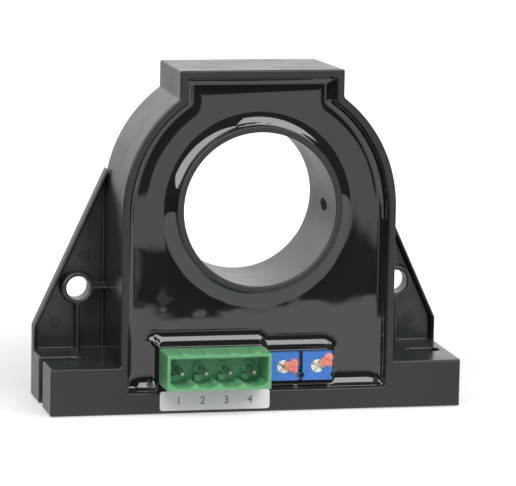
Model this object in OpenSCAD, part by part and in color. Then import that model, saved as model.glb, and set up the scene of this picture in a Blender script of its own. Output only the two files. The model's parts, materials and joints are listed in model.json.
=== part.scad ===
// Hall effect current sensor with a round window, potted into a one-piece moulded casing.
// X runs across the width, Y from the potted front to the closed back, Z up.
// The origin is at the middle of the footprint, on the mounting surface.

/* [Casing] */
// Depth from the front rim to the closed back
case_d = 24.6; // [23:0.2:32]
// Height of the window's axis above the mounting surface
axis_z = 42.8; // [42:0.1:45]
// Room between the window's tube and the arch's wall
ring_space = 9.95; // [9.75:0.05:11.5]
// How far the block's flat top stands over the arch
block_rise = 0.1; // [0.1:0.1:2]
// Width of the flat-topped block over the arch
block_w = 35; // [30:0.5:40]
// Thickness of the casing's outer walls at the front rim
wall = 1.6; // [1.2:0.1:2]
// Thickness of the closed back
back_wall = 1.6; // [1.2:0.1:2.4]
// Thickness of the floor under the potted space
floor_t = 4.6; // [3.6:0.1:5]
// How much the outside narrows on each side from front to back
draft = 0.6; // [0.2:0.1:0.8]

/* [Window] */
// Diameter of the window that the conductor passes through
window_d = 32.5; // [30:0.25:33]
// Wall thickness of the tube round the window
tube_wall = 1.4; // [1:0.1:1.6]

/* [Feet] */
// How far each foot reaches past the arch
foot_reach = 14.8; // [12.8:0.1:20]
// Height of the feet
foot_h = 10; // [8:0.5:12]
// Width of the screw slots through the feet, front to back
slot_w = 4.3; // [4.2:0.1:4.8]
// Distance from the arch's side to the inner end of each slot
slot_gap = 6; // [4:0.1:7]
// Material left outside the closed slot
slot_wall = 1.6; // [1:0.1:2.4]

/* [Wings] */
// Height of the wing's upright outer edge above the foot
wing_edge_h = 5.3; // [3:0.1:8]
// Height at which the wing's slope meets the arch
wing_top_z = 49; // [46:0.5:52]
// Thickness of the wing's plate
wing_t = 1.4; // [1.2:0.1:2]
// Depth of the wing's edge flange, plate included
flange_d = 3.4; // [2.4:0.1:4.5]
// Depth of the wing's ribs and boss, plate included
wing_d = 4.7; // [4:0.1:6]
// Thickness of the flange and the ribs
rib_t = 0.8; // [0.6:0.1:1.2]
// Distance from the arch's side to the middle of a wing hole
wing_hole_out = 5.55; // [4.8:0.05:6.8]
// Height of the wing holes
wing_hole_z = 23.5; // [22:0.5:25]
// Diameter of the wing holes
wing_hole_d = 5; // [4.2:0.1:5.4]
// Wall thickness of the boss round a wing hole
boss_wall = 0.95; // [0.7:0.05:1.2]

/* [Potting] */
// Depth of the flat potting surface behind the front rim
potting_recess = 3.2; // [2.4:0.1:3.3]
// How far the potting climbs up the walls
climb_h = 2.2; // [1:0.1:2.3]
// Width of the band over which it climbs
climb_w = 3.2; // [2:0.2:4]

/* [Terminal header] */
// Distance between neighbouring pins
pin_pitch = 5.08; // [5:0.04:5.08]
// Distance from the outer pins to the header's ends
header_end = 3.42; // [3.2:0.02:3.6]
// Sideways place of the middle of the row of pins
header_x = -9.75; // [-10.5:0.05:-9.5]
// Height of the header's lower edge above the casing's floor
header_lift = 1.6; // [1.2:0.05:2]
// Height of the header
header_h = 7.5; // [7:0.1:8]
// Length of the header, front face to board
header_d = 12; // [11:0.2:13]
// Depth of the plug socket
socket_d = 8.2; // [7.5:0.1:8.6]
// Wall thickness of the plug socket
header_wall = 0.65; // [0.5:0.05:0.8]
// Side of the square pins
pin_t = 1; // [0.8:0.05:1.1]

/* [Trimmers] */
// Gap between the header and the first trimmer
trimmer_gap = 1.06; // [0.8:0.02:1.4]
// Gap between the two trimmers
trimmer_space = 0.9; // [0.6:0.1:1.6]
// Height of the trimmers' lower edge above the casing's floor
trimmer_lift = 1.85; // [1.5:0.05:2.4]
// Width of a trimmer
trimmer_w = 6.4; // [6:0.1:6.6]
// Height of a trimmer
trimmer_h = 6; // [5.6:0.1:6.4]
// Depth of a trimmer
trimmer_d = 4.9; // [4.6:0.1:5.2]
// Diameter of a trimmer's rotor
rotor_d = 2.8; // [2.4:0.1:3]

/* [Inside] */
// Depth of the printed board's front face behind the front rim
board_y = 5; // [4.8:0.1:5.6]
// Thickness of the printed board
board_t = 1.6; // [1.2:0.1:1.7]
// How far the board reaches past the header and the trimmers
board_margin = 2.4; // [1.6:0.1:3.6]
// Gap between the board and the floor, and between the board and the window's tube
board_gap = 1; // [0.6:0.1:1.6]
// Gap between tube and core, and between core and arch wall
core_gap = 0.8; // [0.5:0.1:1.2]
// Gap between the board's back and the core
core_front_gap = 3.4; // [2.4:0.1:5]
// Gap between the core and the closed back
core_back_gap = 1; // [0.6:0.1:2]
// Width of the core's air gap
air_gap = 2.4; // [2:0.1:3]

/* [Label] */
// Height of the pin label
label_h = 4.1; // [3.5:0.1:4.2]
// How far the label reaches past the header at its left end
label_over = 0.1; // [0:0.05:0.4]
// How much further it reaches at its right end
label_tail = 1.2; // [0.6:0.1:2]
// How far the label's top stands over the casing's floor
label_rise = 0.2; // [0:0.05:0.4]
// Thickness of the label
label_t = 0.12; // [0.1:0.02:0.2]

/* [Hidden] */
$fn = 96;
eps = 0.01;
tube_r = window_d / 2 + tube_wall;
cavity_r = tube_r + ring_space;
arch_r = cavity_r + wall;
case_w = 2 * (arch_r + foot_reach);
case_h = axis_z + arch_r + block_rise;
front_y = -case_d / 2;
back_y = case_d / 2;
cavity_back = back_y - back_wall;
block_in_w = block_w - 2 * wall;
slot_in = arch_r + slot_gap + slot_w / 2;
slot_end_x = case_w / 2 - slot_wall - slot_w / 2;
wing_low_z = foot_h + wing_edge_h;
wing_hole_x = arch_r + wing_hole_out;
wing_root_x = arch_r - draft - wall / 2;
wing_front = back_y - wing_d;
boss_r = wing_hole_d / 2 + boss_wall;
potting_y = front_y + potting_recess;
climb_lean = 0.96;
board_front = front_y + board_y;
board_back = board_front + board_t;
pin_count = 4;
pin_drop = 0.35;
pin_setback = 1.1;
pin_tail = 1.7;
header_w = (pin_count - 1) * pin_pitch + 2 * header_end;
header_left = header_x - header_w / 2;
header_right = header_x + header_w / 2;
header_low = floor_t + header_lift;
header_top = header_low + header_h;
header_front = board_front - header_d;
socket_floor = header_front + socket_d;
pin_z = (header_low + header_top) / 2 - pin_drop;
pin_tip_y = header_front + pin_setback;
trimmer_pitch = trimmer_w + trimmer_space;
trimmer_x = header_right + trimmer_gap + trimmer_w / 2;
trimmer_right = trimmer_x + trimmer_pitch + trimmer_w / 2;
trimmer_z = floor_t + trimmer_lift + trimmer_h / 2;
trimmer_front = board_front - trimmer_d;
rotor_sink = 0.6;
rotor_body = 1.2;
core_in_r = tube_r + core_gap;
core_out_r = cavity_r - core_gap;
core_front = board_back + core_front_gap;
core_back = cavity_back - core_back_gap;
gap_mid_y = (core_front + core_back) / 2;
gap_mid_z = axis_z - (core_in_r + core_out_r) / 2;
chip_t = 1.5;
chip_w = 4.1;
chip_l = 3;
spacer_over = 0.5;
lead_t = 0.4;
lead_pitch = 1.27;
lead_end = 0.6;
board_left = header_left - board_margin;
board_right = trimmer_right + board_margin;
board_bottom = floor_t + board_gap;
board_top = axis_z - tube_r - board_gap;
small_z = (header_top + board_top) / 2;
diode_in = 2.6;
diode_lift = 2;
diode_w = 2.6;
diode_h = 1.5;
diode_t = 1.1;
diode_x = board_left + diode_in;
amplifier_in = 9;
amplifier_w = 4.9;
amplifier_h = 3.9;
amplifier_t = 1.45;
amplifier_x = board_left + amplifier_in;
resistor_in = 14;
resistor_step = 2.4;
resistor_lift = 1.6;
resistor_w = 1.25;
resistor_h = 2;
resistor_t = 0.5;
resistor_x = board_left + resistor_in;
regulator_in = 32;
regulator_w = 4.6;
regulator_h = 2.6;
regulator_t = 1.4;
regulator_x = board_left + regulator_in;
capacitor_out = 5.8;
capacitor_w = 1.6;
capacitor_h = 3.2;
capacitor_t = 1.2;
package_gap = 0.15;

// A flat outline drawn in X and Z, given depth from y0 to y1.
module deep(y0, y1) {
    translate([0, y1, 0]) rotate([90, 0, 0]) linear_extrude(y1 - y0) children();
}

// A rectangle with rounded corners.
module rounded(x0, x1, z0, z1, r) {
    translate([x0 + r, z0]) square([x1 - x0 - 2 * r, z1 - z0]);
    translate([x0, z0 + r]) square([x1 - x0, z1 - z0 - 2 * r]);
    for (x = [x0 + r, x1 - r], z = [z0 + r, z1 - r]) translate([x, z]) circle(r = r, $fn = 32);
}

// A round bar along Y between two depths.
module bar(r, x, z, y0, y1, r_back = -1) {
    translate([x, y0, z]) rotate([-90, 0, 0])
        cylinder(r1 = r, r2 = r_back < 0 ? r : r_back, h = y1 - y0);
}

// A box given by its corners.
module corner_box(lo, hi) {
    translate(lo) cube(hi - lo);
}

// A block that stands on height z0, with its own width and top height at the front and at the back.
module tapered_block(z0, w_front, top_front, w_back, top_back) {
    polyhedron(
        points = [for (e = [[front_y, w_front / 2, top_front], [back_y, w_back / 2, top_back]])
            for (p = [[-e[1], z0], [e[1], z0], [e[1], e[2]], [-e[1], e[2]]]) [p[0], e[0], p[1]]],
        faces = [[3, 2, 1, 0], [4, 5, 6, 7], [0, 1, 5, 4], [1, 2, 6, 5], [2, 3, 7, 6], [3, 0, 4, 7]]);
}

// The outside of the arch with its block, narrowing towards the back.
module arch_outside() {
    bar(arch_r, 0, axis_z, front_y, back_y, arch_r - draft);
    tapered_block(0, 2 * arch_r, axis_z, 2 * (arch_r - draft), axis_z);
    tapered_block(axis_z, block_w, case_h, block_w - 2 * draft, case_h - draft);
}

// The outline of the potted space.
module cavity_outline() {
    translate([0, axis_z]) circle(r = cavity_r);
    translate([-cavity_r, floor_t]) square([2 * cavity_r, axis_z - floor_t]);
    translate([-block_in_w / 2, axis_z]) square([block_in_w, case_h - wall - axis_z]);
}

// The outline of the left wing, from the arch out to the flange.
module wing_outline() {
    polygon([[-case_w / 2, foot_h - eps], [-case_w / 2, wing_low_z],
             [-arch_r * cos(asin((wing_top_z - axis_z) / arch_r)), wing_top_z],
             [-wing_root_x, axis_z], [-wing_root_x, foot_h - eps]]);
}

// The left wing: a thin plate at the back with an edge flange, a boss and two ribs.
module wing() {
    deep(back_y - wing_t, back_y) wing_outline();
    deep(back_y - flange_d, back_y) difference() {
        wing_outline();
        translate([rib_t, -eps]) wing_outline();
    }
    bar(boss_r, -wing_hole_x, wing_hole_z, wing_front, back_y);
    corner_box([-wing_hole_x - rib_t / 2, wing_front, foot_h - eps],
               [-wing_hole_x + rib_t / 2, back_y, wing_hole_z]);
    corner_box([-wing_hole_x, wing_front, wing_hole_z - rib_t / 2],
               [-wing_root_x, back_y, wing_hole_z + rib_t / 2]);
}

// A slot through a foot, from its inner round end outwards.
module foot_slot(side, open_end) {
    outer = open_end ? case_w / 2 + 1 : slot_end_x;
    translate([side * slot_in, 0, -1]) cylinder(d = slot_w, h = foot_h + 2);
    corner_box([min(side * slot_in, side * outer), -slot_w / 2, -1],
               [max(side * slot_in, side * outer), slot_w / 2, foot_h + 1]);
    if (!open_end) translate([side * outer, 0, -1]) cylinder(d = slot_w, h = foot_h + 2);
}

module casing() {
    color("#2b2e31") difference() {
        union() {
            difference() {
                union() {
                    arch_outside();
                    corner_box([-case_w / 2, front_y, 0], [case_w / 2, back_y, foot_h]);
                    wing();
                    mirror([1, 0, 0]) wing();
                }
                deep(front_y - 1, cavity_back) cavity_outline();
            }
            bar(tube_r, 0, axis_z, front_y, back_y);
        }
        bar(window_d / 2, 0, axis_z, front_y - 1, back_y + 1);
        for (s = [-1, 1]) bar(wing_hole_d / 2, s * wing_hole_x, wing_hole_z, wing_front - 1, back_y + 1);
        foot_slot(-1, true);
        foot_slot(1, false);
    }
}

// Section of the climbing edge, a hollow arc: distance from the wall across, height towards the front up.
function arc_height(t) = 1 - sqrt(1 - pow(climb_lean * (1 - t), 2));
function climb_profile() = concat([[-eps, -eps], [-eps, climb_h]],
    [for (i = [0 : 6]) [climb_w * i / 6, climb_h * arc_height(i / 6) / arc_height(0)]], [[climb_w, -eps]]);

// The climbing edge round a cylinder; side is 1 outside a tube and -1 inside a bowl.
module climb_ring(r, x, z, side, turn = 360) {
    translate([x, potting_y, z]) rotate([90, 0, 0]) rotate_extrude(angle = turn)
        polygon([for (p = climb_profile()) [max(0, r + side * p[0]), p[1]]]);
}

// The climbing edge of a wall that stands along Z at x; side is the way from the wall into the potting.
module climb_upright(x, side, z0, z1) {
    translate([0, 0, z0]) linear_extrude(z1 - z0)
        polygon([for (p = climb_profile()) [x + side * p[0], potting_y - p[1]]]);
}

// The climbing edge of a wall that runs along X at height z.
module climb_level(z, side, x0, x1) {
    translate([x0, 0, 0]) rotate([90, 0, 90]) linear_extrude(x1 - x0)
        polygon([for (p = climb_profile()) [potting_y - p[1], z + side * p[0]]]);
}

// The climbing edges of a block that stands in the potting: above it and at its free side.
module climb_block(x0, x1, z1, side) {
    climb_level(z1, 1, x0, x1);
    climb_upright(side < 0 ? x0 : x1, side, floor_t, z1);
    climb_ring(0, side < 0 ? x0 : x1, z1, 1);
}

module climbing_edges() {
    block_foot_turn = acos(block_in_w / 2 / cavity_r);
    block_foot_z = axis_z + cavity_r * sin(block_foot_turn);
    climb_ring(tube_r, 0, axis_z, 1);
    for (s = [0, 1]) mirror([s, 0, 0]) {
        climb_ring(cavity_r, 0, axis_z, -1, block_foot_turn);
        climb_ring(0, block_in_w / 2, block_foot_z, 1);
        climb_upright(cavity_r, -1, floor_t, axis_z);
        climb_upright(block_in_w / 2, -1, block_foot_z, case_h - wall);
    }
    climb_level(floor_t, 1, -cavity_r, cavity_r);
    climb_level(case_h - wall, -1, -block_in_w / 2, block_in_w / 2);
    climb_block(header_left, header_right, header_top, -1);
    climb_block(header_right + trimmer_gap, trimmer_right, trimmer_z + trimmer_h / 2, 1);
}

module potting() {
    color("#17181a") difference() {
        union() {
            deep(potting_y, cavity_back) cavity_outline();
            intersection() {
                climbing_edges();
                deep(front_y, potting_y + 1) cavity_outline();
            }
        }
        bar(tube_r, 0, axis_z, front_y - 1, back_y);
        core_shape();
        gap_filling();
        board_shape();
        header_block();
        for (i = [0 : pin_count - 1]) pin_shape(i);
        for (i = [0, 1]) {
            trimmer_block(i);
            trimmer_lead_set(i);
        }
        for (i = [0 : 2]) hall_lead(i);
        amplifier_shape();
        amplifier_lead_set();
        regulator_shape();
        regulator_lead_set();
        for (i = [0 : 3]) resistor(i);
        for (i = [0, 1]) {
            capacitor(i);
            diode(i);
        }
    }
}

// The tape-wound ring with an air gap at its lowest point.
module core_shape() {
    difference() {
        bar(core_out_r, 0, axis_z, core_front, core_back);
        bar(core_in_r, 0, axis_z, core_front - 1, core_back + 1);
        corner_box([-air_gap / 2, core_front - 1, 0], [air_gap / 2, core_back + 1, axis_z]);
    }
}

module core() {
    color("#8d8f93") core_shape();
}

// Hall chip and spacer fill the air gap side by side.
module gap_filling() {
    chip_shape();
    spacer_shape();
}

module chip_shape() {
    corner_box([-air_gap / 2, gap_mid_y - chip_l / 2, gap_mid_z - chip_w / 2],
               [-air_gap / 2 + chip_t, gap_mid_y + chip_l / 2, gap_mid_z + chip_w / 2]);
}

module spacer_shape() {
    corner_box([-air_gap / 2 + chip_t, gap_mid_y - chip_l, gap_mid_z - chip_w / 2 - spacer_over],
               [air_gap / 2, gap_mid_y + chip_l, gap_mid_z + chip_w / 2 + spacer_over]);
}

module hall_chip() {
    color("#202124") chip_shape();
}

module gap_spacer() {
    color("#d9d2b0") spacer_shape();
}

// One straight lead from the chip forward through the board.
module hall_lead(i) {
    x = -air_gap / 2 + chip_t / 2;
    z = gap_mid_z + (i - 1) * lead_pitch;
    corner_box([x - lead_t / 2, board_front - lead_end, z - lead_t / 2], [x + lead_t / 2, gap_mid_y - chip_l / 2, z + lead_t / 2]);
}

module hall_lead_1() {
    color("silver") hall_lead(0);
}

module hall_lead_2() {
    color("silver") hall_lead(1);
}

module hall_lead_3() {
    color("silver") hall_lead(2);
}

// Board outline with its four rounded corners.
module board_shape() {
    deep(board_front, board_back)
        rounded(board_left, board_right, board_bottom, board_top, 1);
}

module main_board() {
    color("#1e6b3a") difference() {
        board_shape();
        for (i = [0 : pin_count - 1]) pin_shape(i);
        for (i = [0, 1]) trimmer_lead_set(i);
        for (i = [0 : 2]) hall_lead(i);
    }
}

function pin_x(i) = header_x + (i - (pin_count - 1) / 2) * pin_pitch;

// The header's outer block.
module header_block() {
    corner_box([header_left, header_front, header_low], [header_right, board_front, header_top]);
}

// Outline of the plug socket: straight above, one round lobe under each pin.
module socket_outline() {
    lobe_r = 3.6;
    lobe_depth = 1.3;
    top = header_top - header_wall;
    bottom = header_low + header_wall * 0.6;
    intersection() {
        translate([header_left + header_wall, bottom]) square([header_w - 2 * header_wall, top - bottom]);
        union() {
            translate([header_left, bottom + lobe_depth]) square([header_w, header_h]);
            for (i = [0 : pin_count - 1]) translate([pin_x(i), bottom + lobe_r]) circle(r = lobe_r);
        }
    }
}

module header_housing() {
    tab_w = 1.3;
    tab_l = 5;
    tab_h = 0.3;
    tab_shift = 0.2;
    collar_r = 1.25;
    collar_l = 0.8;
    key_w = 1.4;
    key_l = 1.6;
    key_h = 1.5;
    key_drop = 2.8;
    color("#4f9a5f") difference() {
        union() {
            difference() {
                header_block();
                deep(header_front - 1, socket_floor) socket_outline();
            }
            for (i = [0 : pin_count - 1]) {
                bar(collar_r, pin_x(i), pin_z, socket_floor - collar_l, socket_floor + eps);
                translate([pin_x(i) - key_w, socket_floor - key_l, pin_z - key_drop]) cube([key_w, key_l + eps, key_h]);
                translate([pin_x(i) - tab_w / 2 + tab_shift, header_front, header_top - eps]) cube([tab_w, tab_l, tab_h + eps]);
            }
        }
        for (i = [0 : pin_count - 1]) pin_shape(i);
    }
}

// A square pin with a short tapered tip.
module pin_shape(i) {
    tip = 0.5;
    translate([pin_x(i), 0, pin_z]) {
        corner_box([-pin_t / 2, pin_tip_y + tip, -pin_t / 2], [pin_t / 2, board_back + pin_tail, pin_t / 2]);
        translate([0, pin_tip_y, 0]) rotate([-90, 45, 0])
            cylinder(r1 = pin_t * 0.35, r2 = pin_t / sqrt(2), h = tip + eps, $fn = 4);
    }
}

module header_pin_1() {
    color("silver") pin_shape(0);
}

module header_pin_2() {
    color("silver") pin_shape(1);
}

module header_pin_3() {
    color("silver") pin_shape(2);
}

module header_pin_4() {
    color("silver") pin_shape(3);
}

function trimmer_mid(i) = trimmer_x + i * trimmer_pitch;

// A trimmer's case with a notch at each lower corner.
module trimmer_block(i) {
    notch = [0.7, 0.9];
    notch_up = 1.1;
    deep(trimmer_front, board_front) translate([trimmer_mid(i), trimmer_z]) difference() {
        square([trimmer_w, trimmer_h], center = true);
        for (s = [-1, 1]) translate([s * trimmer_w / 2, -trimmer_h / 2 + notch_up]) square(notch, center = true);
    }
}

module trimmer_body(i) {
    color("#2f6fc4") difference() {
        trimmer_block(i);
        bar(rotor_d / 2, trimmer_mid(i), trimmer_z, trimmer_front - 1, trimmer_front + rotor_body);
        trimmer_lead_set(i);
    }
}

module trimmer_body_1() {
    trimmer_body(0);
}

module trimmer_body_2() {
    trimmer_body(1);
}

// The adjusting rotor with its crossed slots.
module trimmer_rotor(i) {
    slot = 0.5;
    color("#e8e4d6") difference() {
        bar(rotor_d / 2, trimmer_mid(i), trimmer_z, trimmer_front, trimmer_front + rotor_body);
        translate([trimmer_mid(i), trimmer_front, trimmer_z]) rotate([0, 30, 0]) {
            cube([slot, 2 * rotor_sink, rotor_d + 1], center = true);
            cube([rotor_d + 1, 2 * rotor_sink, slot], center = true);
        }
    }
}

module trimmer_rotor_1() {
    trimmer_rotor(0);
}

module trimmer_rotor_2() {
    trimmer_rotor(1);
}

// Three wires from inside a trimmer's case through the board.
module trimmer_lead_set(i) {
    pitch = 2.3;
    row = 1.6;
    for (k = [-1, 0, 1])
        bar(0.25, trimmer_mid(i) + k * pitch, trimmer_z + (k == 0 ? row : -row), board_front - 1, board_back + 1.2);
}

module trimmer_leads_1() {
    color("silver") trimmer_lead_set(0);
}

module trimmer_leads_2() {
    color("silver") trimmer_lead_set(1);
}

// A dab of sealing lacquer: low round caps that run into each other over the rotor's right side,
// each given by its place from the rotor's middle and its height.
module lacquer(i) {
    caps = i == 0 ? [[1.1, 0.1, 1.3], [2.1, 0.7, 1.2], [2.2, -0.7, 1.1]] : [[1.4, 0.7, 1.2], [2.4, 1.7, 1.2], [2.6, 0.4, 0.9]];
    color("#e8694f") translate([trimmer_mid(i), trimmer_front, trimmer_z]) intersection() {
        union() for (c = caps) translate([c[0], c[2], c[1]]) sphere(r = c[2] * 1.35, $fn = 32);
        corner_box([-trimmer_w, -trimmer_d, -trimmer_h], [trimmer_w, 0, trimmer_h]);
    }
}

module lacquer_1() {
    lacquer(0);
}

module lacquer_2() {
    lacquer(1);
}

// Small parts stand on the board's front face, above the header and the trimmers.
module package(x, w, h, t) {
    translate([x - w / 2, board_front - t - package_gap, small_z - h / 2]) cube([w, t, h]);
}

// Bent leads along the upper and lower edge of a small package.
module package_leads(x, h, t, count, pitch) {
    sheet = 0.2;
    side = h / 2;
    top = t / 2 + package_gap;
    lead_w = 0.4;
    foot_out = 1;
    bend_out = 0.45;
    for (s = [0, 1], i = [0 : count - 1])
        translate([x + (i - (count - 1) / 2) * pitch - lead_w / 2, board_front, small_z]) mirror([0, 0, s])
            rotate([90, 0, 90]) linear_extrude(lead_w)
                polygon([[-top, side], [-top, side + bend_out], [-sheet, side + bend_out],
                         [-sheet, side + foot_out], [0, side + foot_out], [0, side + bend_out - sheet],
                         [sheet - top, side + bend_out - sheet], [sheet - top, side]]);
}

module amplifier_shape() {
    package(amplifier_x, amplifier_w, amplifier_h, amplifier_t);
}

module amplifier_body() {
    color("#1c1d20") amplifier_shape();
}

module amplifier_lead_set() {
    package_leads(amplifier_x, amplifier_h, amplifier_t, 4, 1.27);
}

module amplifier_leads() {
    color("silver") amplifier_lead_set();
}

module regulator_shape() {
    package(regulator_x, regulator_w, regulator_h, regulator_t);
}

module regulator_body() {
    color("#1c1d20") regulator_shape();
}

module regulator_lead_set() {
    package_leads(regulator_x, regulator_h, regulator_t, 3, 1.5);
}

module regulator_leads() {
    color("silver") regulator_lead_set();
}

// A chip part that lies flat on the board.
module chip_part(x, z, w, h, t) {
    corner_box([x - w / 2, board_front - t, z - h / 2], [x + w / 2, board_front, z + h / 2]);
}

module resistor(i) {
    chip_part(resistor_x + resistor_step * i, small_z + (i % 2 == 0 ? resistor_lift : -resistor_lift),
              resistor_w, resistor_h, resistor_t);
}

module resistor_1() {
    color("#26272b") resistor(0);
}

module resistor_2() {
    color("#26272b") resistor(1);
}

module resistor_3() {
    color("#26272b") resistor(2);
}

module resistor_4() {
    color("#26272b") resistor(3);
}

module capacitor(i) {
    chip_part(regulator_x + (i == 0 ? -capacitor_out : capacitor_out), small_z,
              capacitor_w, capacitor_h, capacitor_t);
}

module capacitor_1() {
    color("#b9966a") capacitor(0);
}

module capacitor_2() {
    color("#b9966a") capacitor(1);
}

module diode(i) {
    chip_part(diode_x, small_z + (i == 0 ? diode_lift : -diode_lift), diode_w, diode_h, diode_t);
}

module diode_1() {
    color("#303136") diode(0);
}

module diode_2() {
    color("#303136") diode(1);
}

module label() {
    top = floor_t + label_rise;
    color("#e6e4e2") deep(front_y - label_t, front_y)
        rounded(header_left - label_over, header_right + label_over + label_tail, top - label_h, top, 0.6);
}

casing();
potting();
core();
hall_chip();
hall_lead_1();
hall_lead_2();
hall_lead_3();
gap_spacer();
main_board();
header_housing();
header_pin_1();
header_pin_2();
header_pin_3();
header_pin_4();
trimmer_body_1();
trimmer_body_2();
trimmer_rotor_1();
trimmer_rotor_2();
trimmer_leads_1();
trimmer_leads_2();
lacquer_1();
lacquer_2();
amplifier_body();
amplifier_leads();
regulator_body();
regulator_leads();
resistor_1();
resistor_2();
resistor_3();
resistor_4();
capacitor_1();
capacitor_2();
diode_1();
diode_2();
label();
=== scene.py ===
"""Looks of the round-window current sensor: materials, resin surface, rounded edges, light and camera."""

import json
import math

import bmesh
import bpy
import numpy as np
from mathutils import Matrix, Vector

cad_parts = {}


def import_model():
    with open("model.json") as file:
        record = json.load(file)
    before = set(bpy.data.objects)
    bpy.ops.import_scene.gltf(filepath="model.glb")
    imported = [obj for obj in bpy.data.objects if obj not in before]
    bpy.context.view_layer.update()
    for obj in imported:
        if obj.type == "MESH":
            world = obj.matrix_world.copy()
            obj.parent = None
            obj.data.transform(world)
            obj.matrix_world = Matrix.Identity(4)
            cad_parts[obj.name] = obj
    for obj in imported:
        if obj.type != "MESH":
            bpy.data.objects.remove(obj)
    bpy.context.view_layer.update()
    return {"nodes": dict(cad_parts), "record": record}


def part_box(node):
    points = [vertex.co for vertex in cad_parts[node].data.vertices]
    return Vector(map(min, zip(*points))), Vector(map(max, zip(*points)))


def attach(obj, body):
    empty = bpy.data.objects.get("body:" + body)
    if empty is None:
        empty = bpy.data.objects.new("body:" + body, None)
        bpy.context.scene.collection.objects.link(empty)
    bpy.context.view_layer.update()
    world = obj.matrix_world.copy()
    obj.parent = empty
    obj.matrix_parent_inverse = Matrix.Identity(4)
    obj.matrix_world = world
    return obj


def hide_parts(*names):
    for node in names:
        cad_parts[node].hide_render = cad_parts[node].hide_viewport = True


MM = 0.001
BODY = "root"

# The camera, fitted to the photograph: place in mm, angles in degrees, focal length in pixels.
CAMERA_PLACE = (-186.55, -820.56, 172.35)
CAMERA_YAW = -12.963
CAMERA_PITCH = -9.345
CAMERA_ROLL = 1.057
CAMERA_FOCAL = 4034.1
IMAGE_WIDTH = 516
SENSOR = 36.0

# Sizes that the CAD part shares with the resin surface and the casing's finish, in mm.
AXIS_Z = 42.8
BORE_R = 16.25
TUBE_R = 17.65
CAVITY_R = 27.6
CASING_HALF = 29.2
BLOCK_HALF = 15.9
BLOCK_TOP = 70.5
FLOOR_Z = 4.6
FRONT_Y = -12.3
RESIN_Y = -9.1
PLATE_Y = 10.9

# The resin's climb at each thing it touches: height and width in mm, then how upright it ends.
STEEP = 0.965
WALL_LOW = (1.2, 1.3)
WALL_HIGH = (1.9, 1.9)
FLOOR_CLIMB = (1.2, 3.1, 0.64)
TUBE_TOP = (0.95, 2.65, 0.62)
TUBE_UNDER = (0.45, 1.3, 0.9)
TUBE_SKIRT = (0.14, 3.4, 0.09)
ROW_BESIDE = (1.6, 1.7)
ROW_ABOVE = (2.3, 3.3)
MELT_POWER = 3.0
RESIN_STEP = 0.25
# From this height up, over this much blend, the climb is higher and the resin has sunk.
UPPER_FROM = 40
UPPER_BLEND = 8
# How far the sheet runs into the walls, and into the header and the trimmers.
WALL_OVERLAP = 0.7
BLOCK_OVERLAP = 0.3

# Round ejector marks on the wing plates, in mm.
EJECTOR_MARKS = ((-33.0, PLATE_Y, 29.85), (-39.1, PLATE_Y, 15.7), (38.6, PLATE_Y, 15.05))
MARK_R = 1.4

# The header's sockets, where a paler green is painted light: rim, upper rim and depths behind its front,
# in mm.
SOCKET_RIM = 0.9
SOCKET_RIM_TOP = 1.3
SOCKET_DEEP = (2.2, 3.2)
SOCKET_SOFT = 0.2

RING_ROUGH = 0.5
PLASTIC_IOR = 1.5

# Rounded edges: widths in mm, and the least angle in degrees between the faces.
CASING_EDGE = 0.4
HEADER_EDGE = 0.08
EDGE_ANGLE = 32

# The numbers on the label, in mm: height, shift from their pins, place over the lower edge, gap.
LETTER_HEIGHT = 2.3
LETTER_SHIFT = 0.5
LETTER_BASE = 1.3
LETTER_GAP = 0.012

# What gloss shows in front of the object, as sines of angles: a pale table up to its far edge, and
# a card behind it, which reaches to both sides of the mirrored line of sight.
CARD_TURN = (0.974, 0.225)
CARD_LEFT = -0.19
CARD_RIGHT = 0.15
CARD_TOP = -0.07
CARD_GLOW = 0.8
CARD_SOFT = 0.01
TABLE_EDGE = -0.1789
TABLE_LEAN = 0.154
TABLE_SOFT = 0.0005
# Dark things at the table's far edge. SIDE is the left and right border and how soft these are, TOP
# where a thing begins or ends upward.
STAND_SIDE = (-0.0265, -0.0100, 0.0015)
STAND_TOP = (-0.1820, -0.1810)
LEFT_SIDE = (-0.032, -0.003, 0.0012)
LEFT_TOP = (-0.1642, -0.1630)
RIGHT_START = (0.002, 0.004)
RIGHT_SLOPE = 1.23
RIGHT_TOP = (-0.131, -0.125)
# A paler thing left of them.
BESIDE_SIDE = (-0.06, -0.032, 0.002)
BESIDE_TOP = (-0.165, -0.163)
BESIDE_GLOW = 0.6
# Pale spots on the dark thing at the left: aside, height, size, share of full brightness.
PALE_SPOTS = (
    (-0.0240, -0.1797, 0.0017, 1.0),
    (-0.0154, -0.1799, 0.0017, 1.0),
    (-0.0240, -0.1762, 0.0026, 0.4),
)

# Light from all around on matt surfaces, from the front and from the back.
FILL_FRONT = (0.66, 0.665, 0.67)
FILL_BACK = (0.22, 0.225, 0.23)
LAMP_DISTANCE = 1.2
LAMP_TARGET = (0, -0.01, 0.04)
# Each lamp: turn and lift in degrees, width and height in metres, glow.
MAIN_BOX = (30, 40, 0.92, 0.64, 4.7)
LEFT_BOX = (-20, 50, 0.80, 0.40, 4.9)
LEFT_WINDOW = (-42, 34, 0.98, 1.28, 4.7)

# The floor's own light for the camera, near the object and far from it, and those distances.
FLOOR_GLOW = (0.52, 1.0)
FLOOR_REACH = (0.07, 0.3)


def mix(a, b, t):
    return a + (b - a) * t


def ease(t):
    """A smooth step from 0 to 1."""
    return t * t * (3 - 2 * t)


# ---------------------------------------------------------------- node trees

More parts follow.
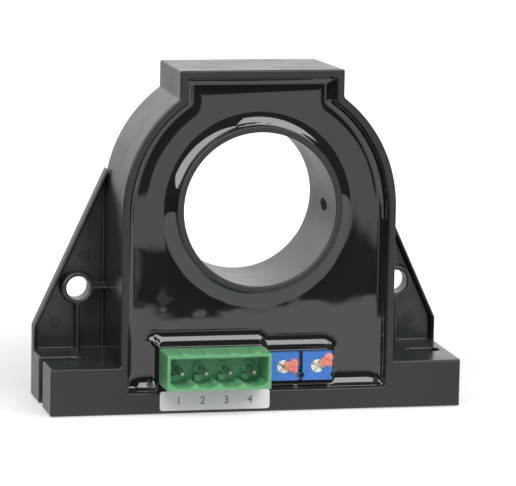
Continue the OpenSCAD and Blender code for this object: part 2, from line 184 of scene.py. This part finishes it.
class Graph:
    """Short ways to build a node tree. Values are other nodes' outputs or plain numbers and colours."""

    def __init__(self, tree):
        self.nodes, self.links = tree.nodes, tree.links

    def new(self, kind, **settings):
        node = self.nodes.new(kind)
        for name, value in settings.items():
            setattr(node, name, value)
        return node

    def feed(self, socket, value):
        if isinstance(value, bpy.types.NodeSocket):
            self.links.new(value, socket)
        elif socket.type == "RGBA":
            socket.default_value = (*value, 1)
        else:
            socket.default_value = value

    def place(self):
        return self.new("ShaderNodeTexCoord").outputs["Object"]

    def split(self, vector):
        parts = self.new("ShaderNodeSeparateXYZ")
        self.feed(parts.inputs["Vector"], vector)
        return parts.outputs["X"], parts.outputs["Y"], parts.outputs["Z"]

    def distance(self, vector, spot):
        """Distance in metres to a spot given in mm."""
        away = self.new("ShaderNodeVectorMath", operation="DISTANCE")
        self.feed(away.inputs[0], vector)
        self.feed(away.inputs[1], Vector(spot) * MM)
        return away.outputs["Value"]

    def noise(self, scale, detail=3.0, rough=0.5):
        """Noise in object space; scale is in features per metre."""
        texture = self.new("ShaderNodeTexNoise")
        self.feed(texture.inputs["Vector"], self.place())
        self.feed(texture.inputs["Scale"], scale)
        self.feed(texture.inputs["Detail"], detail)
        self.feed(texture.inputs["Roughness"], rough)
        return texture.outputs["Fac"]

    def spread(self, value, low, high, start=0.3, stop=0.7):
        """Maps start to low and stop to high, and keeps to that range."""
        reach = self.new("ShaderNodeMapRange")
        self.feed(reach.inputs["Value"], value)
        self.feed(reach.inputs["From Min"], start)
        self.feed(reach.inputs["From Max"], stop)
        self.feed(reach.inputs["To Min"], low)
        self.feed(reach.inputs["To Max"], high)
        return reach.outputs["Result"]

    def blend(self, value, first, second):
        """A mix of two colours."""
        blended = self.new("ShaderNodeMix", data_type="RGBA")
        self.feed(blended.inputs["Factor"], value)
        self.feed(blended.inputs["A"], first)
        self.feed(blended.inputs["B"], second)
        return blended.outputs["Result"]

    def calc(self, operation, first, second=0):
        step = self.new("ShaderNodeMath", operation=operation)
        self.feed(step.inputs[0], first)
        self.feed(step.inputs[1], second)
        return step.outputs["Value"]

    def times(self, first, *others):
        for value in others:
            first = self.calc("MULTIPLY", first, value)
        return first

    def band(self, value, low, high, soft):
        """1 between low and high, 0 outside, with soft borders."""
        rise = self.spread(value, 0, 1, low - soft, low + soft)
        return self.times(rise, self.spread(value, 1, 0, high - soft, high + soft))

    def bump(self, value, strength, distance, under=None):
        bumped = self.new("ShaderNodeBump")
        self.feed(bumped.inputs["Height"], value)
        self.feed(bumped.inputs["Strength"], strength)
        self.feed(bumped.inputs["Distance"], distance)
        if under is not None:
            self.feed(bumped.inputs["Normal"], under)
        return bumped.outputs["Normal"]


# ---------------------------------------------------------------- materials

def principled(name):
    """A new material with its graph and its shader's inputs."""
    material = bpy.data.materials.new(name)
    material.use_nodes = True
    g = Graph(material.node_tree)
    return material, g, g.nodes["Principled BSDF"].inputs


def moulded(name, colour, shade, rough, grain=900, grain_depth=0.01e-3, wave=60):
    """Moulded plastic: colour varies softly, the gloss is uneven, and the skin has a fine grain."""
    material, g, shader = principled(name)
    g.feed(shader["Base Color"], g.blend(g.spread(g.noise(wave), 0, 1), colour, shade))
    g.feed(shader["Roughness"], g.spread(g.noise(wave * 4, 4), *rough))
    g.feed(shader["Normal"], g.bump(g.noise(grain, 2), 0.5, grain_depth))
    g.feed(shader["IOR"], PLASTIC_IOR)
    return material


def header_material():
    """Green plastic that lets some light pass; deep inside its sockets a paler green is painted light."""
    material = moulded(
        "header_plastic", (0.13, 0.385, 0.17), (0.11, 0.335, 0.145), (0.28, 0.42), 1500, 0.012e-3, 150)
    g = Graph(material.node_tree)
    shader = g.nodes["Principled BSDF"].inputs
    low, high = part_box("header_housing")
    x, y, z = g.split(g.place())
    across = g.band(x, low.x + SOCKET_RIM * MM, high.x - SOCKET_RIM * MM, SOCKET_SOFT * MM)
    upright = g.band(z, low.z + SOCKET_RIM * MM, high.z - SOCKET_RIM_TOP * MM, SOCKET_SOFT * MM)
    deep = g.spread(y, 0, 1, low.y + SOCKET_DEEP[0] * MM, low.y + SOCKET_DEEP[1] * MM)
    outer = shader["Base Color"].links[0].from_socket
    # Painted light: a paler green deep inside the sockets.
    g.feed(shader["Base Color"], g.blend(g.times(across, upright, deep), outer, (0.20, 0.56, 0.30)))
    g.feed(shader["Subsurface Weight"], 0.5)
    g.feed(shader["Subsurface Scale"], 3.2e-3)
    g.feed(shader["Subsurface Radius"], (1, 1, 1))
    return material


def ring_zone(g):
    """The roughness of the window tube's front edge, 0 elsewhere."""
    place = g.place()
    flat = g.new("ShaderNodeVectorMath", operation="MULTIPLY")
    g.feed(flat.inputs[0], place)
    g.feed(flat.inputs[1], (1, 0, 1))
    away = g.distance(flat.outputs["Vector"], (0, 0, AXIS_Z))
    near = g.spread(away, RING_ROUGH, 0, (TUBE_R + 0.1) * MM, (TUBE_R + 0.5) * MM)
    return g.times(near, g.spread(g.split(place)[1], 1, 0, (FRONT_Y + 0.4) * MM, (FRONT_Y + 1.0) * MM))


def wing_zones(g):
    """Shares of the wings' inner faces and foot tops, which get painted light, and of the round ejector
    marks there.
    """
    place = g.place()
    x, y, _ = g.split(place)
    facing = g.split(g.new("ShaderNodeNewGeometry").outputs["Normal"])[0]
    outer = g.spread(g.calc("ABSOLUTE", x), 0, 1, (CASING_HALF + 0.1) * MM, (CASING_HALF + 0.6) * MM)
    behind = g.spread(y, 0, 1, (FRONT_Y + 0.8) * MM, (FRONT_Y + 2.8) * MM)
    open_side = g.spread(g.calc("ABSOLUTE", facing), 1, 0, 0.3, 0.7)
    marks = 0
    for spot in EJECTOR_MARKS:
        disc = g.spread(g.distance(place, spot), 1, 0, (MARK_R - 0.1) * MM, (MARK_R + 0.1) * MM)
        marks = g.calc("MAXIMUM", marks, disc)
    return g.times(outer, behind, open_side), marks


def casing_material():
    material, g, shader = principled("casing_plastic")
    cloud = g.spread(g.noise(45, 5), 0, 1)
    polished = g.blend(cloud, (0.0155, 0.0175, 0.0195), (0.021, 0.023, 0.026))
    painted_light_share, marks = wing_zones(g)
    # Painted light: a paler colour on the wings' inner faces and the foot tops; the ejector marks there
    # stay darker.
    tone_and_painted_light = g.blend(marks, (0.031, 0.037, 0.039), (0.018, 0.021, 0.027))
    g.feed(shader["Base Color"], g.blend(painted_light_share, polished, tone_and_painted_light))
    gloss = g.spread(g.noise(160, 6, 0.6), 0.16, 0.27)
    g.feed(shader["Roughness"], g.calc("MAXIMUM", gloss, ring_zone(g)))
    swell = g.bump(g.noise(70, 1), 0.35, 0.12e-3)
    g.feed(shader["Normal"], g.bump(g.noise(2600, 2), 0.3, 0.006e-3, swell))
    g.feed(shader["IOR"], PLASTIC_IOR)
    return material


def resin_material():
    material, g, shader = principled("casting_resin")
    cloud = g.spread(g.noise(30, 3), 0, 1)
    g.feed(shader["Base Color"], g.blend(cloud, (0.0085, 0.009, 0.010), (0.012, 0.013, 0.0145)))
    g.feed(shader["Roughness"], g.spread(g.noise(220, 4), 0.008, 0.02))
    swell = g.bump(g.noise(90, 2), 0.25, 0.04e-3)
    g.feed(shader["Normal"], swell)
    g.feed(shader["Coat Normal"], swell)
    g.feed(shader["IOR"], PLASTIC_IOR)
    g.feed(shader["Coat Weight"], 0.85)
    g.feed(shader["Coat Roughness"], 0.015)
    g.feed(shader["Coat IOR"], PLASTIC_IOR)
    return material


def metal(name, colour, rough):
    material, g, shader = principled(name)
    tone_and_painted_light = tuple(c * 0.8 for c in colour)
    g.feed(shader["Metallic"], 1)
    g.feed(shader["Base Color"], g.blend(g.spread(g.noise(900, 4), 0, 1), colour, tone_and_painted_light))
    g.feed(shader["Roughness"], g.spread(g.noise(1800, 3), rough, rough + 0.15))
    g.feed(shader["Normal"], g.bump(g.noise(3000, 2), 0.3, 0.01e-3))
    return material


def lacquer_material():
    material, g, shader = principled("sealing_lacquer")
    cloud = g.spread(g.noise(1100, 5, 0.6), 0, 1, 0.35, 0.65)
    g.feed(shader["Base Color"], g.blend(cloud, (0.70, 0.14, 0.11), (0.80, 0.34, 0.26)))
    g.feed(shader["Normal"], g.bump(g.noise(1500, 4, 0.6), 0.9, 0.25e-3))
    g.feed(shader["Roughness"], 0.28)
    g.feed(shader["Subsurface Weight"], 0.15)
    g.feed(shader["Subsurface Scale"], 0.4e-3)
    return material


def ink_material():
    material, g, shader = principled("ink")
    cloud = g.spread(g.noise(2500, 3), 0, 1)
    g.feed(shader["Base Color"], g.blend(cloud, (0.05, 0.05, 0.06), (0.12, 0.12, 0.13)))
    g.feed(shader["Roughness"], 0.6)
    return material


def mark_material():
    material = moulded("mark_skin", (0.004, 0.004, 0.004), (0.03, 0.03, 0.03), (0.6, 0.8), 1800)
    material.node_tree.nodes["Principled BSDF"].inputs["Specular IOR Level"].default_value = 0.12
    return material


def materials():
    """The finish of each material slot."""
    return {
        "casing": casing_material(),
        "potting": resin_material(),
        "header_green": header_material(),
        "trimmer_blue": moulded(
            "trimmer_plastic", (0.05, 0.20, 0.58), (0.035, 0.15, 0.46), (0.3, 0.45), 1800, wave=900),
        "rotor_cream": moulded(
            "rotor_plastic", (0.78, 0.76, 0.70), (0.70, 0.67, 0.58), (0.35, 0.5), 1800, wave=400),
        "label_white": moulded(
            "label_film", (0.84, 0.83, 0.84), (0.80, 0.79, 0.80), (0.35, 0.5), 700, 0.006e-3, 120),
        "chip_black": moulded(
            "chip_epoxy", (0.02, 0.02, 0.022), (0.03, 0.03, 0.032), (0.5, 0.65), 2500, 0.015e-3, 300),
        "spacer": moulded(
            "spacer_board", (0.62, 0.56, 0.36), (0.55, 0.49, 0.3), (0.5, 0.65), 1500, 0.02e-3, 300),
        "board": moulded(
            "solder_mask", (0.02, 0.16, 0.06), (0.015, 0.12, 0.045), (0.3, 0.4), 1500, wave=200),
        "capacitor_tan": moulded(
            "capacitor_body", (0.5, 0.34, 0.18), (0.42, 0.28, 0.14), (0.4, 0.55), 2500, wave=500),
        "tin": metal("tinned_metal", (0.55, 0.55, 0.54), 0.24),
        "core_steel": metal("wound_strip", (0.46, 0.47, 0.49), 0.35),
        "lacquer_red": lacquer_material(),
    }


# ---------------------------------------------------------------- pieces

def add_piece(name, mesh):
    piece = bpy.data.objects.new(name, mesh)
    bpy.context.scene.collection.objects.link(piece)
    return piece


def add_mesh(name, vertices, faces, material, smooth=True):
    mesh = bpy.data.meshes.new(name)
    mesh.from_pydata(vertices, [], faces)
    mesh.update()
    mesh.materials.append(material)
    mesh.polygons.foreach_set("use_smooth", [smooth] * len(mesh.polygons))
    return add_piece(name, mesh)


def coat(mesh, material):
    """Gives a mesh this material alone."""
    mesh.materials.clear()
    mesh.materials.append(material)


def settle(piece, slot, *nodes):
    """Lets a new piece ride on the part and stand for CAD nodes."""
    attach(piece, BODY)
    if nodes:
        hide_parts(*nodes)
    return piece


def rounded_copy(node, name, width, segments, large):
    """A copy of a CAD node with its sharp edges rounded. The flat faces of a large one are joined
    first, and its roundings keep their width everywhere."""
    mesh = bpy.data.objects[node].data.copy()
    mesh.name = name
    work = bmesh.new()
    work.from_mesh(mesh)
    bmesh.ops.remove_doubles(work, verts=work.verts, dist=0.002 * MM)
    if large:
        bmesh.ops.dissolve_limit(work, angle_limit=math.radians(0.3), verts=work.verts, edges=work.edges)
    for face in work.faces:
        face.smooth = True
    work.to_mesh(mesh)
    work.free()
    piece = add_piece(name, mesh)
    edge = piece.modifiers.new("edge", "BEVEL")
    edge.width = width * MM
    edge.segments = segments
    edge.limit_method = "ANGLE"
    edge.angle_limit = math.radians(EDGE_ANGLE)
    edge.harden_normals = True
    edge.use_clamp_overlap = not large
    edge.face_strength_mode = "FSTR_AFFECTED"
    edge.miter_outer = "MITER_ARC"
    even = piece.modifiers.new("even", "WEIGHTED_NORMAL")
    even.use_face_influence = True
    even.weight = 100
    even.keep_sharp = True
    return piece


def rough_lump(piece):
    """Runs the drops of lacquer into one another and makes them uneven."""
    skin = piece.modifiers.new("skin", "REMESH")
    skin.mode = "VOXEL"
    skin.voxel_size = 0.09 * MM
    soft = piece.modifiers.new("soft", "SMOOTH")
    soft.factor, soft.iterations = 0.6, 6
    cloud = bpy.data.textures.new("drops", "CLOUDS")
    cloud.noise_scale = 0.55 * MM
    cloud.noise_depth = 2
    uneven = piece.modifiers.new("uneven", "DISPLACE")
    uneven.texture = cloud
    uneven.strength = 0.5 * MM
    uneven.mid_level = 0.55
    for face in piece.data.polygons:
        face.use_smooth = True


def label_numbers(material):
    """Plain pin numbers printed on the label."""
    low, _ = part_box("label")
    for i in range(4):
        pin_low, pin_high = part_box(f"header_pin_{i + 1}")
        curve = bpy.data.curves.new(f"number_{i + 1}", "FONT")
        curve.body = str(i + 1)
        curve.size = LETTER_HEIGHT * MM
        curve.align_x = "CENTER"
        curve.extrude = 0.01 * MM
        text = add_piece(f"number_shape_{i + 1}", curve)
        bpy.context.view_layer.update()
        mesh = bpy.data.meshes.new_from_object(text.evaluated_get(bpy.context.evaluated_depsgraph_get()))
        bpy.data.objects.remove(text)
        coat(mesh, material)
        middle = (pin_low.x + pin_high.x) / 2 + LETTER_SHIFT * MM
        mesh.transform(Matrix.Rotation(math.radians(90), 4, "X"))
        mesh.transform(Matrix.Translation((middle, low.y - LETTER_GAP * MM, low.z + LETTER_BASE * MM)))
        mesh.name = f"number_{i + 1}"
        settle(add_piece(f"number_{i + 1}", mesh), "label_white")


def bore_mark(material):
    """The small oval mark with a ridge inside the window, on its right."""
    deep, tall, slant, y, z = 2.9, 1.25, 0.15, -0.9, 42.0
    profile = [(0.0, 0.05), (0.3, 0.05), (0.45, 0.25), (0.6, 0.05), (0.9, 0.05), (1.0, 0.0)]
    turns = 48
    vertices = []
    for share, lift in profile:
        for k in range(turns):
            angle = 2 * math.pi * k / turns
            across = deep * share * math.cos(angle)
            up = tall * share * (math.sin(angle) + slant * math.cos(angle))
            x = math.sqrt(BORE_R ** 2 - (z + up - AXIS_Z) ** 2) - lift - 0.005
            vertices.append((x * MM, (y + across) * MM, (z + up) * MM))
    faces = []
    for r in range(len(profile) - 1):
        for k in range(turns):
            a, b = r * turns + k, r * turns + (k + 1) % turns
            faces.append((a, b, b + turns, a + turns))
    return settle(add_mesh("bore_mark", vertices, faces, material), "casing")


# ---------------------------------------------------------------- the resin's surface, in mm

def outside_of(beside, above):
    """Distance from a corner region with these two offsets, negative inside it."""
    return np.hypot(np.maximum(beside, 0), np.maximum(above, 0)) + np.minimum(np.maximum(beside, above), 0)


def block_distance(x, z, x0, x1, z0, z1):
    """Distance from a rectangle, negative inside it."""
    return outside_of(np.maximum(x0 - x, x - x1), np.maximum(z0 - z, z - z1))


def segment_distance(x, z, a, b):
    """Distance to a straight wall from a to b."""
    along = np.array(b, float) - np.array(a, float)
    t = np.clip(((x - a[0]) * along[0] + (z - a[1]) * along[1]) / (along @ along), 0, 1)
    return np.hypot(x - a[0] - t * along[0], z - a[1] - t * along[1])


def cavity_distance(x, z):
    """Distance to the casing's wall from inside the potted space, negative in the wall."""
    side = np.abs(x)
    foot = AXIS_Z + math.sqrt(CAVITY_R ** 2 - BLOCK_HALF ** 2)
    out = np.hypot(side, z - AXIS_Z)
    on_arc = (z >= AXIS_Z) & (side * (foot - AXIS_Z) >= (z - AXIS_Z) * BLOCK_HALF)
    far_off = 99
    walls = [
        np.where(on_arc, np.abs(CAVITY_R - out), far_off),
        segment_distance(side, z, (CAVITY_R, AXIS_Z), (CAVITY_R, FLOOR_Z)),
        segment_distance(side, z, (-CAVITY_R, FLOOR_Z), (CAVITY_R, FLOOR_Z)),
        segment_distance(side, z, (BLOCK_HALF, foot), (BLOCK_HALF, BLOCK_TOP)),
        segment_distance(side, z, (-BLOCK_HALF, BLOCK_TOP), (BLOCK_HALF, BLOCK_TOP)),
    ]
    below = (side < CAVITY_R) & (z > FLOOR_Z) & (z < AXIS_Z)
    in_block = (side < BLOCK_HALF) & (z > AXIS_Z) & (z < BLOCK_TOP)
    inside = (out < CAVITY_R) | below | in_block
    return np.minimum.reduce(walls) * np.where(inside, 1, -1)


def climb(distance, height, width, lean=STEEP):
    """Height of resin that has crept up a wall, as a hollow arc that ends flat at its width."""
    t = 1 - np.clip(distance, 0, width) / width
    return height * (1 - np.sqrt(1 - (lean * t) ** 2)) / (1 - math.sqrt(1 - lean ** 2))


def mixed_climb(distance, first, second, share):
    """A climb between two kinds, each given by height and width."""
    return climb(distance, mix(first[0], second[0], share), mix(first[1], second[1], share))


def climb_row(x, z, header, trimmers):
    """Resin at the row of header and trimmers: high and wide above it, lower and narrower beside it."""
    right = trimmers[1][1]
    top = mix(header[3], trimmers[0][3], ease(np.clip((x - header[1] + 0.6) / 2.2, 0, 1)))
    top = top - 0.5 * np.clip((x - right + 1.2) / 1.2, 0, 1) ** 2
    beside = np.maximum(header[0] - x, x - right)
    above = np.maximum(trimmers[0][2] - z, z - top)
    share = np.maximum(above, 0) / (np.maximum(beside, 0) + np.maximum(above, 0) + 1e-6)
    return mixed_climb(outside_of(beside, above), ROW_BESIDE, ROW_ABOVE, ease(share))


def sunk_strip(x, wall, upper):
    """Depth of the dip that runs along the arch and the block."""
    reach = 3.45 - 0.035 * x
    step = np.clip(reach - wall, 0, reach - 1.1)
    return upper * 0.11 * (np.sqrt(step ** 2 + 0.02) - math.sqrt(0.02))


def drop(x, z, header):
    """The little drop at the header's upper left corner."""
    away = np.hypot(x - header[0] + 0.9, z - header[3] - 1.3)
    return 0.75 * np.exp(-(away / 0.85) ** 2)


def between(x, z, trimmers):
    """The tongue of resin that stands between the trimmers, highest below their upper edges."""
    middle = (trimmers[0][1] + trimmers[1][0]) / 2
    deep = trimmers[0][3] - z
    rise = np.clip(deep + 0.3, 0, 3.4) * np.clip((4.4 - deep) / 0.8, 0, 1)
    return 0.38 * rise * np.exp(-((x - middle) / 0.6) ** 2)


def resin_height(x, z, header, trimmers):
    """How far the resin stands in front of its flat level. It has sunk a little along the arch and
    the block, and stands higher at everything that it touches. Overhead is 1 over the tube and 0
    under it, and ends is less than 1 in the floor's corners."""
    wall = cavity_distance(x, z)
    out = np.hypot(x, z - AXIS_Z)
    tube = out - TUBE_R
    upper = np.clip((z - UPPER_FROM) / UPPER_BLEND, 0, 1)
    overhead = np.clip((z - AXIS_Z) / np.maximum(out, 1) * 1.6 + 1.1, 0, 1)
    ends = 0.45 + 0.55 * np.sin(np.clip((CAVITY_R - np.abs(x)) / 3.2, 0, 1) * math.pi / 2)
    parts = [
        mixed_climb(wall, WALL_LOW, WALL_HIGH, upper),
        climb(z - FLOOR_Z, FLOOR_CLIMB[0] * ends, FLOOR_CLIMB[1] * ends, FLOOR_CLIMB[2]),
        mix(climb(tube, *TUBE_UNDER) + climb(tube, *TUBE_SKIRT), climb(tube, *TUBE_TOP), overhead),
        climb_row(x, z, header, trimmers),
    ]
    level = sum(p ** MELT_POWER for p in parts) ** (1 / MELT_POWER) - sunk_strip(x, wall, upper)
    return level + drop(x, z, header) + between(x, z, trimmers)


def node_rectangle(node):
    low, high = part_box(node)
    return (low.x / MM, high.x / MM, low.z / MM, high.z / MM)


def resin_surface(material, step):
    """The resin's front as one smooth sheet that runs a little way into every wall it meets."""
    header = node_rectangle("header_housing")
    header = (header[0], header[1], header[2], header[3] - 0.3)
    trimmers = [node_rectangle("trimmer_body_1"), node_rectangle("trimmer_body_2")]
    xs = np.arange(-CAVITY_R - 1, CAVITY_R + 1 + step, step)
    zs = np.arange(FLOOR_Z - 1, BLOCK_TOP + 1 + step, step)
    gx, gz = np.meshgrid(xs, zs)
    tube = np.hypot(gx, gz - AXIS_Z) - TUBE_R
    blocks = np.minimum.reduce([block_distance(gx, gz, *b) for b in [header, *trimmers]])
    wall = np.minimum(cavity_distance(gx, gz), tube)
    keep = (wall > -WALL_OVERLAP) & (blocks > -BLOCK_OVERLAP)
    gy = RESIN_Y - resin_height(gx, gz, header, trimmers)
    number = -np.ones(gx.shape, int)
    number[keep] = np.arange(keep.sum())
    vertices = np.stack([gx[keep], gy[keep], gz[keep]], 1) * MM
    corners = [number[:-1, :-1], number[:-1, 1:], number[1:, 1:], number[1:, :-1]]
    quads = np.stack(corners, -1).reshape(-1, 4)
    quads = quads[(quads >= 0).all(1)]
    return add_mesh("resin", vertices.tolist(), quads.tolist(), material)


# ---------------------------------------------------------------- surroundings

def make_camera():
    yaw, pitch, roll = (math.radians(a) for a in (CAMERA_YAW, CAMERA_PITCH, CAMERA_ROLL))
    forward = Vector((-math.sin(yaw) * math.cos(pitch), math.cos(yaw) * math.cos(pitch), math.sin(pitch)))
    right = Vector((math.cos(yaw), math.sin(yaw), 0))
    up = right.cross(forward)
    tilted_right = right * math.cos(roll) + up * math.sin(roll)
    tilted_up = up * math.cos(roll) - right * math.sin(roll)
    data = bpy.data.cameras.new("camera")
    data.sensor_fit = "HORIZONTAL"
    data.sensor_width = SENSOR
    data.lens = CAMERA_FOCAL * SENSOR / IMAGE_WIDTH
    data.clip_start, data.clip_end = 0.01, 50
    camera = add_piece("camera", data)
    turn = Matrix((tilted_right, tilted_up, -forward)).transposed().to_4x4()
    camera.matrix_world = Matrix.Translation(Vector(CAMERA_PLACE) * MM) @ turn
    bpy.context.scene.camera = camera


def soft_box(name, turn, lift, width, height, glow):
    """A lamp that the part sees at a turn to the right of the front and a lift above the horizon,
    in degrees. Its glow is how bright it looks."""
    turn, lift = math.radians(turn), math.radians(lift)
    toward = Vector((math.sin(turn) * math.cos(lift), -math.cos(turn) * math.cos(lift), math.sin(lift)))
    data = bpy.data.lights.new(name, "AREA")
    data.shape = "RECTANGLE"
    data.size, data.size_y = width, height
    data.energy = glow * math.pi * width * height
    light = add_piece(name, data)
    light.location = toward * LAMP_DISTANCE + Vector(LAMP_TARGET)
    light.rotation_mode = "QUATERNION"
    light.rotation_quaternion = (-toward).to_track_quat("-Z", "Y")
    return light


def front_glow(g, side, up):
    """What gloss shows in front of the object, from 0 for the dark room to 1 for the pale table."""
    lean = g.times(g.calc("MAXIMUM", side, 0), TABLE_LEAN)
    level = g.calc("SUBTRACT", up, lean)
    table = g.spread(level, 1, 0, TABLE_EDGE - TABLE_SOFT, TABLE_EDGE + TABLE_SOFT)
    across = g.band(side, CARD_LEFT, CARD_RIGHT, 2 * CARD_SOFT)
    card = g.times(across, g.spread(up, 1, 0, CARD_TOP - CARD_SOFT, CARD_TOP + CARD_SOFT))
    stand = g.times(g.band(side, *STAND_SIDE), g.spread(up, 0, 1, *STAND_TOP))
    left_thing = g.times(g.band(side, *LEFT_SIDE), g.spread(up, 1, 0, *LEFT_TOP))
    for aside, height, size, share in PALE_SPOTS:
        sideways = g.calc("ABSOLUTE", g.calc("SUBTRACT", side, aside))
        upward = g.calc("ABSOLUTE", g.calc("SUBTRACT", up, height))
        spot = g.spread(g.calc("ADD", sideways, upward), 1 - share, 1, size * 0.7, size)
        left_thing, stand = g.times(left_thing, spot), g.times(stand, spot)
    slant = g.calc("ADD", up, g.times(side, RIGHT_SLOPE))
    right_thing = g.times(g.spread(side, 0, 1, *RIGHT_START), g.spread(slant, 1, 0, *RIGHT_TOP))
    things = g.calc("MAXIMUM", left_thing, right_thing)
    table = g.times(table, g.calc("SUBTRACT", 1, stand))
    card = g.times(card, CARD_GLOW, g.calc("SUBTRACT", 1, things))
    beside = g.times(g.band(side, *BESIDE_SIDE), g.spread(up, 1, 0, *BESIDE_TOP), BESIDE_GLOW)
    return g.calc("MAXIMUM", g.calc("MAXIMUM", card, beside), table)


def make_world():
    """White for the camera and an even fill for matt surfaces. Gloss shows a white room behind the
    object and, in front of it, a pale table with dark things at its far edge, a card behind them
    and a dark room above."""
    world = bpy.data.worlds.new("surroundings")
    bpy.context.scene.world = world
    world.use_nodes = True
    g = Graph(world.node_tree)
    x, y, up = g.split(g.new("ShaderNodeTexCoord").outputs["Generated"])
    side = g.calc("ADD", g.times(x, CARD_TURN[0]), g.times(y, CARD_TURN[1]))
    front = g.blend(front_glow(g, side, up), (0.03, 0.033, 0.036), (1.02, 1.06, 1.10))
    sky_behind = g.blend(g.spread(x, 0, 1, -0.25, 0.1), (0.90, 0.90, 0.90), (1, 1, 1))
    behind = g.blend(g.spread(up, 0, 1, -0.1, 0.1), (0.55, 0.55, 0.55), sky_behind)
    gloss = g.blend(g.spread(y, 1, 0, -0.15, 0.1), behind, front)
    fill = g.blend(g.spread(y, 0, 1, -0.5, 0.3), FILL_FRONT, FILL_BACK)
    rays = g.new("ShaderNodeLightPath").outputs
    unseen = g.blend(rays["Is Glossy Ray"], fill, gloss)
    sky = g.nodes["Background"].inputs
    g.feed(sky["Color"], g.blend(rays["Is Camera Ray"], unseen, (1, 1, 1)))
    g.feed(sky["Strength"], 1)


def make_floor():
    """A pale card. The camera sees it a little lighter, and white far from the object."""
    material, g, shader = principled("floor_card")
    cloud = g.spread(g.noise(3, 2), 0, 1)
    g.feed(shader["Base Color"], g.blend(cloud, (0.52, 0.52, 0.525), (0.54, 0.54, 0.545)))
    g.feed(shader["Roughness"], 0.9)
    g.feed(shader["Specular IOR Level"], 0)
    g.feed(shader["Emission Color"], (1, 1, 1))
    far = g.spread(g.distance(g.place(), (0, 0, 0)), *FLOOR_GLOW, *FLOOR_REACH)
    camera_ray = g.new("ShaderNodeLightPath").outputs["Is Camera Ray"]
    g.feed(shader["Emission Strength"], g.times(camera_ray, far))
    half, level = 4.0, -0.0002
    corners = [(-half, -half, level), (half, -half, level), (half, half, level), (-half, half, level)]
    floor = add_mesh("floor", corners, [(0, 1, 2, 3)], material, False)
    floor.visible_glossy = False


def main():
    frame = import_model()
    finishes = materials()
    slots = {row["node"]: row["material_slot"] for row in frame["record"]["subparts"]}
    for name, piece in frame["nodes"].items():
        coat(piece.data, finishes[slots[name]])
    for name in ("lacquer_1", "lacquer_2"):
        rough_lump(frame["nodes"][name])
    casing = rounded_copy("casing", "casing_shell", CASING_EDGE, 3, large=True)
    coat(casing.data, finishes["casing"])
    settle(casing, "casing", "casing")
    header = rounded_copy("header_housing", "header_shell", HEADER_EDGE, 2, large=False)
    coat(header.data, finishes["header_green"])
    settle(header, "header_green", "header_housing")
    settle(resin_surface(finishes["potting"], RESIN_STEP), "potting", "potting")
    label_numbers(ink_material())
    bore_mark(mark_material())
    make_camera()
    make_world()
    make_floor()
    soft_box("main_box", *MAIN_BOX)
    soft_box("left_box", *LEFT_BOX).visible_glossy = False
    soft_box("left_window", *LEFT_WINDOW).visible_diffuse = False
    bpy.context.scene.view_settings.view_transform = "Standard"


main()
